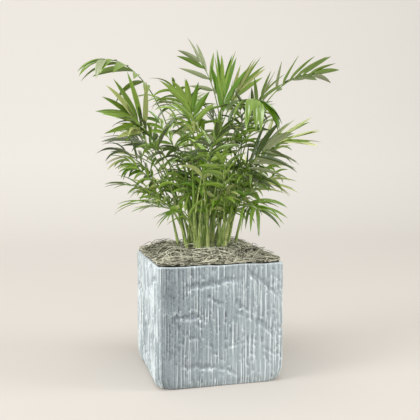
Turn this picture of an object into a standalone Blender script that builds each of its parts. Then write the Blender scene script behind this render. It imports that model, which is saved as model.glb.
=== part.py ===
"""A parlour palm in a square ribbed stone pot: a clump of slim canes, each with a closed spear leaf
and a few arching fronds, standing in a mat of moss over potting soil.

Metres, +Z up. The origin is the centre of the pot's flat underside and the pot's front face looks to -Y.
"""

import math
import random
from collections import namedtuple

import bmesh
import bpy
from mathutils import Matrix, Vector
from mathutils.bvhtree import BVHTree

# The pot
POT_SIDE = 0.182
POT_HEIGHT = 0.170
POT_WALL = 0.009
POT_FLOOR = 0.012
POT_CORNER = 0.006
HOLLOW_CORNER = 0.005
FOOT_INSET = 0.0055
FOOT_HEIGHT = 0.016
RIBS_A_SIDE = 10
GROOVE_DEPTH = (0.0006, 0.0018)
RIM_ROUND = 0.0012
RIM_BAND = 0.004

# What fills it
GAP = 0.0003
SOIL_BELOW_RIM = 0.012
MOSS_EDGE_RISE = 0.0115
MOSS_CROWN_RISE = 0.0145
MOSS_ROLL = 0.010
MOSS_LAP = 0.0075

# The canes
CANES = 14
CLUMP_RADIUS = 0.036
GOLDEN_ANGLE = math.radians(137.508)
CLUMP_TURN = math.radians(20)
CANE_FOOT_RADIUS = 0.0038
CANE_RADIUS = 0.0028
CANE_NECK_RADIUS = 0.0022
CANE_HEIGHT = (0.048, 0.078)
CANE_LEAN = (math.radians(3), math.radians(13))
SPEAR_LENGTH = (0.040, 0.075)
SPEAR_TIP_RADIUS = 0.0004
CANE_SIDES = 5
CANE_FLARE = 0.15
SPEAR_SHAPE = ((0.35, 0.80), (0.75, 0.42))

# The fronds
PETIOLE_RADIUS = 0.0014
RACHIS_RADIUS = 0.0010
RACHIS_TIP_RADIUS = 0.0006
AXIS_STEPS = 15
LEAF_STEPS = 12
LEAF_THICKNESS = 0.013
LEAF_ANGLE = (68, 24)
LEAF_STAGGER = 0.35
LEAF_SIZE = (0.72, 1.0)
LEAF_ROOT_WIDTH = 0.15
LEAF_WIDEST = 0.33
BLADE_STATIONS = (0, 5, 12)
SEED = 11

GROUND = POT_HEIGHT + MOSS_CROWN_RISE
UP = Vector((0, 0, 1))

# How a frond bears itself. Bend gathers its curve towards the tip, lift stands its leaflets up from its
# plane and droop lets them fall towards their points, both in degrees; width is theirs in millimetres,
# and spread scales the angle at which they leave the rachis.
Habit = namedtuple("Habit", "bend lift droop width spread")
ARCHING = Habit(bend=2.6, lift=15, droop=60, width=9, spread=1.0)
SPREADING = Habit(bend=1.2, lift=25, droop=35, width=8, spread=0.9)
FANNED = Habit(bend=2.4, lift=20, droop=10, width=11, spread=0.7)
HANGING = Habit(bend=0.9, lift=10, droop=70, width=8, spread=1.0)
WEEPING = Habit(bend=2.6, lift=-15, droop=75, width=12, spread=1.0)
UPRIGHT = Habit(bend=2.4, lift=5, droop=8, width=12, spread=0.5)

# One frond. Angles are in degrees: azimuth is the way it leans, from +X towards +Y, fork is the angle
# at which it leaves its cane, tip is its final angle from the vertical, and roll turns its leaflets about
# it. Perch is its place up the cane, as a share. Petiole, blade and leaf are lengths in millimetres.
Frond = namedtuple("Frond", "name cane perch azimuth fork tip petiole blade roll pairs leaf habit")

# The fronds that show one by one round the outside of the clump, from the left over the top to the right
OUTER_FRONDS = [
    Frond("frond_front_left_low", 12, 0.30, 235, 20, 105, 35, 60, 40, 4, 45, SPREADING),
    Frond("frond_left_lowest", 12, 0.45, 180, 30, 105, 35, 60, 5, 3, 45, SPREADING),
    Frond("frond_left_low", 4, 0.55, 180, 30, 85, 60, 50, -15, 4, 45, SPREADING),
    Frond("frond_left_pale", 9, 1.00, 120, 5, 105, 85, 50, 0, 4, 60, SPREADING),
    Frond("frond_left_middle", 4, 0.95, 135, 10, 80, 90, 45, -20, 5, 75, SPREADING),
    Frond("frond_left_fan", 9, 1.00, 215, 5, 70, 125, 30, -90, 4, 85, FANNED),
    Frond("frond_left_high", 6, 0.90, 215, 5, 98, 190, 85, -5, 4, 70, WEEPING),
    Frond("frond_middle_left_fan", 7, 1.00, 230, 5, 50, 125, 35, 0, 4, 55, FANNED),
    Frond("frond_top_left", 8, 0.95, 200, 5, 40, 175, 55, 90, 3, 55, FANNED),
    Frond("frond_top_middle", 0, 0.35, 275, 5, 10, 175, 30, 30, 3, 75, UPRIGHT),
    Frond("frond_top_right_fan", 3, 0.75, 340, 5, 40, 165, 50, -30, 4, 65, UPRIGHT),
    Frond("frond_right_high", 5, 0.90, 10, 5, 90, 175, 75, -35, 6, 58, FANNED),
    Frond("frond_right_arching", 2, 0.80, 280, 5, 125, 175, 60, 0, 4, 60, WEEPING),
    Frond("frond_right_middle", 8, 1.00, 330, 15, 90, 115, 30, 30, 4, 75, FANNED),
    Frond("frond_right_dark", 10, 1.00, 285, 5, 80, 40, 75, -75, 5, 70, SPREADING),
    Frond("frond_right_pale", 13, 0.85, 40, 10, 100, 35, 55, 20, 4, 85, SPREADING),
    Frond("frond_right_low", 10, 0.60, 285, 20, 110, 35, 40, 20, 5, 60, HANGING),
]

# The rest fill the clump by rule, from short low arching ones to long high upright ones
INNER_FRONDS = 26
INNER_PERCH = (0.25, 1.0)
INNER_FORK = (28, 8)
INNER_TIP = (95, 42)
INNER_PETIOLE = (28, 112)
INNER_BLADE = (46, 82)
INNER_ROLL = (-30, 30)
INNER_LEAF = (46, 60)
INNER_PAIRS = 5
LOW_HABITS = (SPREADING, SPREADING, ARCHING, HANGING)
HIGH_HABITS = (SPREADING, ARCHING, HANGING, FANNED)

# A leaflet that would touch something tries these turns in order: lift added, droop scaled, length scaled
LEAF_TRIES = [
    (0, 1, 1),
    (12, 1, 1),
    (-12, 1, 1),
    (24, 0.6, 1),
    (-24, 1.3, 0.95),
    (36, 1, 0.9),
    (-36, 1, 0.85),
    (0, 0.4, 0.7),
    (15, 1.6, 0.7),
    (-15, 1.6, 0.7),
    (0, 1, 0.5),
]
AXIS_TRIES = [0, 5, -5, 10, -10, 16, -16, 23, -23, 31, -31, 40, -40]
CLEARANCE = 0.0004


def heading(azimuth, inclination):
    """The unit direction at this angle from the vertical, leaning to this azimuth."""
    return Vector(
        (
            math.sin(inclination) * math.cos(azimuth),
            math.sin(inclination) * math.sin(azimuth),
            math.cos(inclination),
        )
    )


def mix(low_high, share):
    low, high = low_high
    return low + (high - low) * share


def canes(rng):
    """Each cane's foot, direction, height to the neck and spear length, on a sunflower spiral."""
    found = []
    for i in range(CANES):
        share = math.sqrt((i + 0.5) / CANES)
        azimuth = CLUMP_TURN + i * GOLDEN_ANGLE
        foot = Vector((math.cos(azimuth), math.sin(azimuth), 0)) * (CLUMP_RADIUS * share)
        foot.z = GROUND + GAP
        lean = heading(azimuth + rng.uniform(-0.3, 0.3), mix(CANE_LEAN, share))
        found.append((foot, lean, mix(CANE_HEIGHT, rng.random()), mix(SPEAR_LENGTH, rng.random())))
    return found


def cane_radius(along):
    """The cane's radius at this share of the way from its foot to its neck."""
    flare = CANE_FOOT_RADIUS - CANE_RADIUS
    return mix((CANE_RADIUS, CANE_NECK_RADIUS), along) + flare * max(0.0, 1 - along / CANE_FLARE)


def inner_fronds(rng):
    """The fronds that fill the clump, facing the gaps that the outer ones leave round each cane."""
    used = [0] * CANES
    for frond in OUTER_FRONDS:
        used[frond.cane] += 1
    found = []
    for i in range(INNER_FRONDS):
        cane = min(range(CANES), key=lambda c: (used[c], c * 5 % CANES))
        used[cane] += 1
        rise = (i + 0.5) / INNER_FRONDS
        found.append(
            Frond(
                f"frond_inner_{i + 1:02d}",
                cane,
                mix(INNER_PERCH, rise),
                math.degrees(CLUMP_TURN + i * GOLDEN_ANGLE) % 360,
                mix(INNER_FORK, rise),
                mix(INNER_TIP, rise) + rng.uniform(-15, 15),
                mix(INNER_PETIOLE, rise) * rng.uniform(0.9, 1.1),
                mix(INNER_BLADE, rise) * rng.uniform(0.9, 1.1),
                mix(INNER_ROLL, rng.random()),
                INNER_PAIRS,
                mix(INNER_LEAF, rise),
                rng.choice(LOW_HABITS if rise < 0.7 else HIGH_HABITS),
            )
        )
    return found


def axis_of(frond, cane, turn=0):
    """The petiole and rachis as one curve: its points, directions and sideways directions."""
    foot, lean, height, _ = cane
    azimuth = math.radians(frond.azimuth + turn)
    out = heading(azimuth, math.pi / 2)
    out = (out - lean * out.dot(lean)).normalized()
    fork = math.radians(frond.fork)
    start = lean * math.cos(fork) + out * math.sin(fork)
    end = heading(azimuth, math.radians(frond.tip))
    length = (frond.petiole + frond.blade) / 1000
    off = cane_radius(frond.perch) + PETIOLE_RADIUS + GAP
    point = foot + lean * (height * frond.perch) + out * off
    sideways = Vector((math.sin(azimuth), -math.cos(azimuth), 0))
    points, directions, sides = [], [], []
    for k in range(AXIS_STEPS + 1):
        share = k / AXIS_STEPS
        direction = start.slerp(end, share**frond.habit.bend)
        points.append(point.copy())
        directions.append(direction)
        sides.append((sideways - direction * sideways.dot(direction)).normalized())
        middle = start.slerp(end, ((k + 0.5) / AXIS_STEPS) ** frond.habit.bend)
        point = point + middle * (length / AXIS_STEPS)
    return points, directions, sides


def axis_radius(frond, share):
    """The petiole thins to the rachis, and the rachis to its tip."""
    first = frond.petiole / (frond.petiole + frond.blade)
    if share < first:
        return mix((PETIOLE_RADIUS, RACHIS_RADIUS), share / first)
    return mix((RACHIS_RADIUS, RACHIS_TIP_RADIUS), (share - first) / (1 - first))


def leaf_places(frond):
    """(share of the whole axis, side, angle to the rachis in degrees, length share) of each leaflet."""
    first = frond.petiole / (frond.petiole + frond.blade)
    places = []
    for i in range(frond.pairs):
        along = i / (frond.pairs - 1)
        for side in (-1, 1):
            shift = LEAF_STAGGER * (side > 0) * (i < frond.pairs - 1) / (frond.pairs - 1)
            share = first + (1 - first) * min(0.99, 0.02 + 0.97 * (along + shift))
            angle = mix(LEAF_ANGLE, along**0.8) * frond.habit.spread
            size = mix(LEAF_SIZE, math.sin(math.pi * (0.15 + along * 0.75)))
            places.append((share, side, angle, size))
    return places


def sample(values, share):
    """The value part of the way along a list."""
    place = min(share, 0.9999) * (len(values) - 1)
    k = int(place)
    return values[k].lerp(values[k + 1], place - k)


def leaf_line(frond, axis, place, trial):
    """A leaflet's centre line: its points, directions and the way its upper face looks."""
    share, side, angle, size = place
    lift_more, droop_scale, length_scale = trial
    points, directions, sides = axis
    tangent = sample(directions, share).normalized()
    roll = Matrix.Rotation(math.radians(frond.roll), 3, tangent)
    sideways = roll @ sample(sides, share).normalized()
    normal = sideways.cross(tangent).normalized()
    open_angle, lift = math.radians(angle), math.radians(frond.habit.lift + lift_more)
    spread = sideways * side * math.cos(lift) + normal * math.sin(lift)
    direction = (tangent * math.cos(open_angle) + spread * math.sin(open_angle)).normalized()
    face = (normal - direction * normal.dot(direction)).normalized()
    length = frond.leaf / 1000 * size * length_scale
    droop = math.radians(frond.habit.droop * droop_scale)
    hang = direction.cross(-UP)
    room = direction.angle(-UP)
    turn = Matrix.Rotation(min(droop, room * 0.9) / LEAF_STEPS, 3, hang.normalized())
    point = sample(points, share)
    line = []
    for _ in range(LEAF_STEPS + 1):
        line.append((point.copy(), direction.copy(), face.copy()))
        point = point + direction * (length / LEAF_STEPS)
        direction = turn @ direction
        face = turn @ face
    return line, length


def leaf_width(share):
    """The leaflet's outline: its width at this share of its length, as a share of its widest."""
    if share < LEAF_WIDEST:
        return mix((LEAF_ROOT_WIDTH, 1), math.sin(math.pi / 2 * share / LEAF_WIDEST))
    return 1 - ((share - LEAF_WIDEST) / (1 - LEAF_WIDEST)) ** 1.7


def blade(line, length, width, stations, pad=0.0):
    """A leaflet as a closed blade of three-cornered sections, keeled below, ending in a point."""
    verts, faces = [], []
    for k in stations[:-1]:
        point, direction, face = line[k]
        share = k / LEAF_STEPS
        across = direction.cross(face) * (width / 2 * leaf_width(share) + pad)
        keel = face * (length * LEAF_THICKNESS * (1 - 0.4 * share) + 2 * pad)
        verts += [point - across + face * pad, point + across + face * pad, point - keel]
    verts.append(line[stations[-1]][0] + line[stations[-1]][1] * pad)
    for ring in range(len(stations) - 2):
        a = 3 * ring
        for i in range(3):
            j = (i + 1) % 3
            faces.append((a + i, a + j, a + 3 + j, a + 3 + i))
    last, tip = 3 * (len(stations) - 2), len(verts) - 1
    faces += [(last + i, last + (i + 1) % 3, tip) for i in range(3)]
    faces.append((2, 1, 0))
    return verts, faces


def tube(points, directions, sides, radii, corners, pad=0.0):
    """A tapering limb with flat ends."""
    verts, faces = [], []
    for point, direction, side, radius in zip(points, directions, sides, radii):
        up = side.cross(direction)
        for i in range(corners):
            turn = 2 * math.pi * i / corners
            verts.append(point + (side * math.cos(turn) + up * math.sin(turn)) * (radius + pad))
    rings = len(points)
    for ring in range(rings - 1):
        for i in range(corners):
            j = (i + 1) % corners
            a, b = ring * corners, (ring + 1) * corners
            faces.append((a + j, a + i, b + i, b + j))
    faces.append(tuple(range(corners)))
    faces.append(tuple(reversed(range((rings - 1) * corners, rings * corners))))
    return verts, faces


def material(name, colour, roughness, metallic=0.0):
    made = bpy.data.materials.new(name)
    made.use_nodes = True
    shader = made.node_tree.nodes["Principled BSDF"]
    shader.inputs["Base Color"].default_value = (*colour, 1)
    shader.inputs["Roughness"].default_value = roughness
    shader.inputs["Metallic"].default_value = metallic
    return made


def solid(name, verts, faces, look=None):
    """A closed mesh as an object, its faces turned outward."""
    mesh = bpy.data.meshes.new(name)
    mesh.from_pydata([tuple(v) for v in verts], [], faces)
    work = bmesh.new()
    work.from_mesh(mesh)
    bmesh.ops.recalc_face_normals(work, faces=work.faces)
    work.to_mesh(mesh)
    work.free()
    made = bpy.data.objects.new(name, mesh)
    bpy.context.scene.collection.objects.link(made)
    if look:
        mesh.materials.append(look)
    return made


def remove(items):
    for item in items:
        bpy.data.objects.remove(item, do_unlink=True)


def applied(made, solver):
    """The object's mesh with its modifiers worked out, or nothing where the result is empty."""
    made.modifiers[0].solver = solver
    bpy.context.view_layer.update()
    done = made.evaluated_get(bpy.context.evaluated_depsgraph_get())
    mesh = bpy.data.meshes.new_from_object(done)
    return mesh if mesh.polygons else None


def main_body(mesh):
    """Keep the one connected body with the most faces; scraps and sealed hollows go."""
    work = bmesh.new()
    work.from_mesh(mesh)
    bmesh.ops.dissolve_degenerate(work, dist=1e-6, edges=work.edges)
    bmesh.ops.triangulate(work, faces=work.faces)
    left = set(work.faces)
    bodies = []
    while left:
        body, reached = set(), [next(iter(left))]
        while reached:
            face = reached.pop()
            if face in body:
                continue
            body.add(face)
            reached += [other for edge in face.edges for other in edge.link_faces if other not in body]
        left -= body
        bodies.append(body)
    keep = max(bodies, key=len)
    bmesh.ops.delete(work, geom=[face for face in work.faces if face not in keep], context="FACES")
    work.to_mesh(mesh)
    work.free()
    return mesh


def fused(name, stem, leaves, look):
    """A rachis and its leaflets as one solid."""
    made = solid(name, *stem, look)
    group = bpy.data.collections.new(name + "_leaflets")
    bpy.context.scene.collection.children.link(group)
    parts = []
    for k, (verts, faces) in enumerate(leaves):
        part = solid(f"{name}_leaflet_{k}", verts, faces)
        bpy.context.scene.collection.objects.unlink(part)
        group.objects.link(part)
        part.hide_render = True
        part.display_type = "WIRE"
        parts.append(part)
    join = made.modifiers.new("Leaflets", "BOOLEAN")
    join.operation = "UNION"
    join.operand_type = "COLLECTION"
    join.collection = group
    mesh = applied(made, "MANIFOLD") or applied(made, "EXACT")
    made.modifiers.clear()
    made.data = main_body(mesh)
    made.data.name = name
    remove(parts)
    bpy.data.collections.remove(group)
    return made


class Room:
    """What has been placed so far, for finding what a new piece would touch."""

    def __init__(self):
        self.placed = []

    def add(self, owner, shape):
        verts, faces = shape
        low, high = bounds(verts)
        self.placed.append((owner, low, high, BVHTree.FromPolygons(verts, faces)))

    def clear(self, owner, shape):
        verts, faces = shape
        low, high = bounds(verts)
        tree = None
        for other, other_low, other_high, other_tree in self.placed:
            if other == owner:
                continue
            if any(low[i] > other_high[i] or high[i] < other_low[i] for i in range(3)):
                continue
            tree = tree or BVHTree.FromPolygons(verts, faces)
            if tree.overlap(other_tree):
                return False
        return True


def bounds(verts):
    low = [min(v[i] for v in verts) for i in range(3)]
    high = [max(v[i] for v in verts) for i in range(3)]
    return low, high


def rounded_square(side, corner, height, steps=3):
    """A level ring of points round a square with rounded corners."""
    ring = []
    reach = side / 2 - corner
    for quarter in range(4):
        turn = math.pi / 2 * quarter
        centre = Matrix.Rotation(turn, 3, "Z") @ Vector((reach, -reach, 0))
        for k in range(steps + 1):
            angle = turn - math.pi / 2 + math.pi / 2 * k / steps
            point = centre + Vector((math.cos(angle), math.sin(angle), 0)) * corner
            ring.append(Vector((point.x, point.y, height)))
    return ring


def rib_depths(rng):
    """How deep each groove between two ribs is cut, all the way round."""
    return [rng.uniform(*GROOVE_DEPTH) for _ in range(4 * (RIBS_A_SIDE + 1))]


def ribbed_square(side, corner, height, grooves=None):
    """The same ring with ribs standing along each straight side, where the grooves have a depth."""
    ring = []
    reach = side / 2 - corner
    pitch = 2 * reach / RIBS_A_SIDE
    for quarter in range(4):
        turn = Matrix.Rotation(math.pi / 2 * quarter, 3, "Z")
        for k in range(2 * RIBS_A_SIDE + 1):
            inward = grooves[quarter * (RIBS_A_SIDE + 1) + k // 2] if grooves and k % 2 == 0 else 0
            ring.append(turn @ Vector((side / 2 - inward, -reach + k * pitch / 2, height)))
        for k in range(1, 4):
            angle = math.pi / 2 * k / 4
            out = Vector((math.cos(angle), math.sin(angle), 0)) * corner
            ring.append(turn @ Vector((reach + out.x, reach + out.y, height)))
    return ring


def loft(rings):
    """A closed body through rings with the same number of points."""
    count = len(rings[0])
    verts = [point for ring in rings for point in ring]
    faces = []
    for level in range(len(rings) - 1):
        for i in range(count):
            j = (i + 1) % count
            a, b = level * count, (level + 1) * count
            faces.append((a + i, a + j, b + j, b + i))
    faces.append(tuple(reversed(range(count))))
    faces.append(tuple(range((len(rings) - 1) * count, len(rings) * count)))
    return verts, faces


def make_pot(look, rng):
    foot_side = POT_SIDE - 2 * FOOT_INSET
    foot_corner = POT_CORNER - FOOT_INSET / 2
    grooves = rib_depths(rng)
    body = solid(
        "pot",
        *loft(
            [
                ribbed_square(foot_side, foot_corner, 0),
                ribbed_square(foot_side + FOOT_INSET * 1.3, foot_corner + FOOT_INSET / 4, FOOT_HEIGHT * 0.3),
                ribbed_square(POT_SIDE, POT_CORNER, FOOT_HEIGHT, grooves),
                ribbed_square(POT_SIDE, POT_CORNER, POT_HEIGHT - RIM_BAND, grooves),
                ribbed_square(POT_SIDE, POT_CORNER, POT_HEIGHT - RIM_ROUND),
                ribbed_square(POT_SIDE - 2 * RIM_ROUND, POT_CORNER - RIM_ROUND, POT_HEIGHT),
            ]
        ),
        look,
    )
    inner = POT_SIDE - 2 * POT_WALL
    past_rim = POT_HEIGHT + POT_WALL
    ends = [rounded_square(inner, HOLLOW_CORNER, height) for height in (POT_FLOOR, past_rim)]
    hollow = solid("pot_hollow", *loft(ends))
    hollow.hide_render = True
    hollow.display_type = "WIRE"
    cut = body.modifiers.new("Hollow", "BOOLEAN")
    cut.operation = "DIFFERENCE"
    cut.object = hollow
    mesh = applied(body, "EXACT")
    body.modifiers.clear()
    body.data = main_body(mesh)
    remove([hollow])
    return body


def make_filling(soil_look, moss_look):
    inner = POT_SIDE - 2 * POT_WALL - 2 * GAP
    corner = HOLLOW_CORNER - GAP
    soil_top = POT_HEIGHT - SOIL_BELOW_RIM
    ends = [rounded_square(inner, corner, height) for height in (POT_FLOOR + GAP, soil_top)]
    solid("soil", *loft(ends), soil_look)
    lap = inner + 2 * MOSS_LAP
    solid(
        "moss",
        *loft(
            [
                rounded_square(inner, corner, soil_top + GAP),
                rounded_square(inner, corner, POT_HEIGHT + GAP),
                rounded_square(lap, corner + MOSS_LAP, POT_HEIGHT + GAP),
                rounded_square(lap, corner + MOSS_LAP, POT_HEIGHT + MOSS_EDGE_RISE * 0.5),
                rounded_square(lap - MOSS_ROLL / 4, corner + MOSS_LAP, POT_HEIGHT + MOSS_EDGE_RISE * 0.85),
                rounded_square(lap - MOSS_ROLL, corner + MOSS_LAP, POT_HEIGHT + MOSS_EDGE_RISE * 1.1),
                rounded_square(CLUMP_RADIUS * 2.5, CLUMP_RADIUS, GROUND),
            ]
        ),
        moss_look,
    )


def cane_shape(cane):
    """A cane and the closed spear leaf that carries it on to a point, its foot cut level."""
    foot, lean, height, spear = cane
    points, radii = [], []
    for along in (0, CANE_FLARE / 2, CANE_FLARE, 1):
        points.append(foot + lean * (height * along))
        radii.append(cane_radius(along))
    for along, share in SPEAR_SHAPE:
        points.append(foot + lean * (height + spear * along))
        radii.append(CANE_NECK_RADIUS * share)
    points.append(foot + lean * (height + spear))
    radii.append(SPEAR_TIP_RADIUS)
    count = len(points)
    return tube(points, [UP] * count, [Vector((1, 0, 0))] * count, radii, CANE_SIDES)


def frond_axis_shape(frond, axis, pad=0.0):
    """The petiole and rachis as a three-sided limb, the straighter petiole in longer steps."""
    points, directions, sides = axis
    first = AXIS_STEPS * frond.petiole / (frond.petiole + frond.blade)
    keep = [k for k in range(AXIS_STEPS + 1) if k % 3 == 0 or k > first]
    radii = [axis_radius(frond, k / AXIS_STEPS) for k in keep]
    return tube(
        [points[k] for k in keep],
        [directions[k] for k in keep],
        [sides[k] for k in keep],
        radii,
        3,
        pad,
    )


def place_fronds(fronds, stems, room):
    """Turn each frond's axis clear of the others, then give each the leaflets that have room."""
    axes = {}
    for frond in fronds:
        for turn in AXIS_TRIES:
            axis = axis_of(frond, stems[frond.cane], turn)
            if room.clear(frond.name, frond_axis_shape(frond, axis, CLEARANCE)):
                axes[frond.name] = axis
                room.add(frond.name, frond_axis_shape(frond, axis))
                break
    grown = {}
    for frond in fronds:
        if frond.name not in axes:
            continue
        axis = axes[frond.name]
        width = frond.habit.width / 1000
        leaves = []
        for place in leaf_places(frond):
            for trial in LEAF_TRIES:
                line, length = leaf_line(frond, axis, place, trial)
                if room.clear(frond.name, blade(line, length, width, BLADE_STATIONS, CLEARANCE)):
                    shape = blade(line, length, width, BLADE_STATIONS)
                    room.add(frond.name, shape)
                    leaves.append(shape)
                    break
        grown[frond.name] = leaves
    return axes, grown


def main():
    for item in list(bpy.data.objects):
        bpy.data.objects.remove(item, do_unlink=True)
    stone = material("pot_stone", (0.36, 0.40, 0.45), 0.8)
    earth = material("potting_soil", (0.035, 0.025, 0.018), 0.95)
    mat = material("moss", (0.24, 0.22, 0.17), 0.95)
    cane_green = material("cane_green", (0.42, 0.46, 0.20), 0.6)
    frond_green = material("frond_green", (0.10, 0.22, 0.06), 0.5)
    make_pot(stone, random.Random(SEED + 1))
    make_filling(earth, mat)
    stems = canes(random.Random(SEED))
    room = Room()
    for k, cane in enumerate(stems):
        solid(f"cane_{k + 1:02d}", *cane_shape(cane), cane_green)
        room.add(f"cane_{k + 1:02d}", cane_shape(cane))
    fronds = OUTER_FRONDS + inner_fronds(random.Random(SEED + 2))
    axes, grown = place_fronds(fronds, stems, room)
    for frond in fronds:
        if frond.name in axes:
            fused(frond.name, frond_axis_shape(frond, axes[frond.name]), grown[frond.name], frond_green)


main()
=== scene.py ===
"""The potted parlour palm, dressed: fine fronds, fibrous canes, a curled moss mat and a split-stone pot.

Metres, +Z up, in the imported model's own frame. The fronds grow again by the rule of the solids, with
finer leaflets and their own number of them.
"""

import math
import random
from collections import namedtuple

import bpy
import numpy as np
from mathutils import Matrix, Vector
from mathutils.kdtree import KDTree


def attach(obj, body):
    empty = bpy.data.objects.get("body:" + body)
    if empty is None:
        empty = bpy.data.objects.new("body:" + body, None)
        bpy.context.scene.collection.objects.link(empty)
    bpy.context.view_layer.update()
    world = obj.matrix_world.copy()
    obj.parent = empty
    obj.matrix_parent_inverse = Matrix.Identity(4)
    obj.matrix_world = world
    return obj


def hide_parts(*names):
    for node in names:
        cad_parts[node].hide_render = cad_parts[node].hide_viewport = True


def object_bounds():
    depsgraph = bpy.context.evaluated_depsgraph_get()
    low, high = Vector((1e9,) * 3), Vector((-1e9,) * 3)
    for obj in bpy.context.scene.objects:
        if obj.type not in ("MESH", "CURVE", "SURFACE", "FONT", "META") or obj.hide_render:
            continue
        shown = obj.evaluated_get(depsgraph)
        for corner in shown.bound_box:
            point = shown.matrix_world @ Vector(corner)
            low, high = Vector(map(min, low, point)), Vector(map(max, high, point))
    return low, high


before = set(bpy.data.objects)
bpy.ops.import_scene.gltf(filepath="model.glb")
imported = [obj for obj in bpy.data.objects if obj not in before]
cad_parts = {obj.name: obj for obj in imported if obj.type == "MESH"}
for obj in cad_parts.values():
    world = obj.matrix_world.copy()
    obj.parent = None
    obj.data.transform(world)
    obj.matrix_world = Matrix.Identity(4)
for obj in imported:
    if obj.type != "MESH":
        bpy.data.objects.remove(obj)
cad_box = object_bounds()

UP = Vector((0, 0, 1))
SEED = 11

# The pot
POT_SIDE = 0.182
POT_HEIGHT = 0.170
POT_WALL = 0.009
POT_FLOOR = 0.012
POT_CORNER = 0.006
FOOT_INSET = 0.0055
FOOT_HEIGHT = 0.016
RIM_ROUND = 0.0012

# The filling
GAP = 0.0003
MOSS_CROWN_RISE = 0.0145
MOSS_EDGE_THIN = 0.0045
GROUND = POT_HEIGHT + MOSS_CROWN_RISE

# The canes
CANES = 14
CLUMP_RADIUS = 0.036
GOLDEN_ANGLE = math.radians(137.508)
CLUMP_TURN = math.radians(20)
CANE_FOOT_RADIUS = 0.0038
CANE_RADIUS = 0.0028
CANE_NECK_RADIUS = 0.0022
CANE_HEIGHT = (0.048, 0.078)
CANE_LEAN = (math.radians(3), math.radians(13))
SPEAR_LENGTH = (0.040, 0.075)
CANE_FLARE = 0.15
CANE_STRAY = 0.3

# The fronds
PETIOLE_RADIUS = 0.0014
RACHIS_RADIUS = 0.0010
RACHIS_TIP_RADIUS = 0.0006
AXIS_STEPS = 15
LEAF_STEPS = 12
LEAF_ANGLE = (68, 24)
LEAF_ANGLE_FALL = 0.8
LEAF_STAGGER = 0.35
LEAF_SIZE = (0.72, 1.0)
SIZE_ARC = (0.15, 0.90)
FIRST_LEAF = 0.02
LEAF_RUN = 0.97
LAST_LEAF = 0.99

Habit = namedtuple("Habit", "bend lift droop width spread")
ARCHING = Habit(bend=2.6, lift=15, droop=60, width=9, spread=1.0)
SPREADING = Habit(bend=1.2, lift=25, droop=35, width=8, spread=0.9)
FANNED = Habit(bend=2.4, lift=20, droop=10, width=11, spread=0.7)
HANGING = Habit(bend=0.9, lift=10, droop=70, width=8, spread=1.0)
WEEPING = Habit(bend=2.6, lift=-15, droop=75, width=12, spread=1.0)
UPRIGHT = Habit(bend=2.4, lift=5, droop=8, width=12, spread=0.5)

# One frond. Angles are in degrees: azimuth is the way it leans, from +X towards +Y, fork is the angle
# at which it leaves its cane, tip is its final angle from the vertical, and roll turns its leaflets about
# it. Perch is its place up the cane, as a share. Petiole, blade and leaf are lengths in millimetres.
# Its number of leaflets is part of its dress, below.
Frond = namedtuple("Frond", "name cane perch azimuth fork tip petiole blade roll leaf habit")

OUTER_FRONDS = [
    Frond("frond_front_left_low", 12, 0.30, 235, 20, 105, 35, 60, 40, 45, SPREADING),
    Frond("frond_left_lowest", 12, 0.45, 180, 30, 105, 35, 60, 5, 45, SPREADING),
    Frond("frond_left_low", 4, 0.55, 180, 30, 85, 60, 50, -15, 45, SPREADING),
    Frond("frond_left_pale", 9, 1.00, 120, 5, 105, 85, 50, 0, 60, SPREADING),
    Frond("frond_left_middle", 4, 0.95, 135, 10, 80, 90, 45, -20, 75, SPREADING),
    Frond("frond_left_fan", 9, 1.00, 215, 5, 70, 125, 30, -90, 85, FANNED),
    Frond("frond_left_high", 6, 0.90, 215, 5, 98, 190, 85, -5, 70, WEEPING),
    Frond("frond_middle_left_fan", 7, 1.00, 230, 5, 50, 125, 35, 0, 55, FANNED),
    Frond("frond_top_left", 8, 0.95, 200, 5, 40, 175, 55, 90, 55, FANNED),
    Frond("frond_top_middle", 0, 0.35, 275, 5, 10, 175, 30, 30, 75, UPRIGHT),
    Frond("frond_top_right_fan", 3, 0.75, 340, 5, 40, 165, 50, -30, 65, UPRIGHT),
    Frond("frond_right_high", 5, 0.90, 10, 5, 90, 175, 75, -35, 58, FANNED),
    Frond("frond_right_arching", 2, 0.80, 280, 5, 125, 175, 60, 0, 60, WEEPING),
    Frond("frond_right_middle", 8, 1.00, 330, 15, 90, 115, 30, 30, 75, FANNED),
    Frond("frond_right_dark", 10, 1.00, 285, 5, 80, 40, 75, -75, 70, SPREADING),
    Frond("frond_right_pale", 13, 0.85, 40, 10, 100, 35, 55, 20, 85, SPREADING),
    Frond("frond_right_low", 10, 0.60, 285, 20, 110, 35, 40, 20, 60, HANGING),
]

INNER_FRONDS = 26
INNER_PERCH = (0.25, 1.0)
INNER_FORK = (28, 8)
INNER_TIP = (95, 42)
INNER_PETIOLE = (28, 112)
INNER_BLADE = (46, 82)
INNER_ROLL = (-30, 30)
INNER_LEAF = (46, 60)
INNER_TIP_JITTER = 15
INNER_JITTER = (0.9, 1.1)
HIGH_FROM = 0.7
LOW_HABITS = (SPREADING, SPREADING, ARCHING, HANGING)
HIGH_HABITS = (SPREADING, ARCHING, HANGING, FANNED)

# The turns, in degrees, that the solids try in this order to stand clear of each other
AXIS_TRIES = [0, 5, -5, 10, -10, 16, -16, 23, -23, 31, -31, 40, -40]

# How a leaflet strays: in degrees to the side and up, in radians along its twist, and in shares for the
# rest. Looseness is how many times as far the leaflets of the inner fronds and the shoots stray, and a
# leaflet droops no further than the limit's share of the way to straight down.
OPEN_JITTER = 9
LIFT_JITTER = 14
TWIST = 0.9
LENGTH_JITTER = 0.12
DROOP_JITTER = (0.7, 1.5)
DROOP_LIMIT = 0.9
WIDTH_JITTER = (0.9, 1.05)
WIDTH_BY_LENGTH = (0.8, 1.0)
LOOSENESS = 2.0

# A leaflet that would leave the model's box by more than the slack is shortened a few times
BOX_SLACK = 0.004
BOX_TRIES = 8
SHORTENED = 0.85

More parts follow.
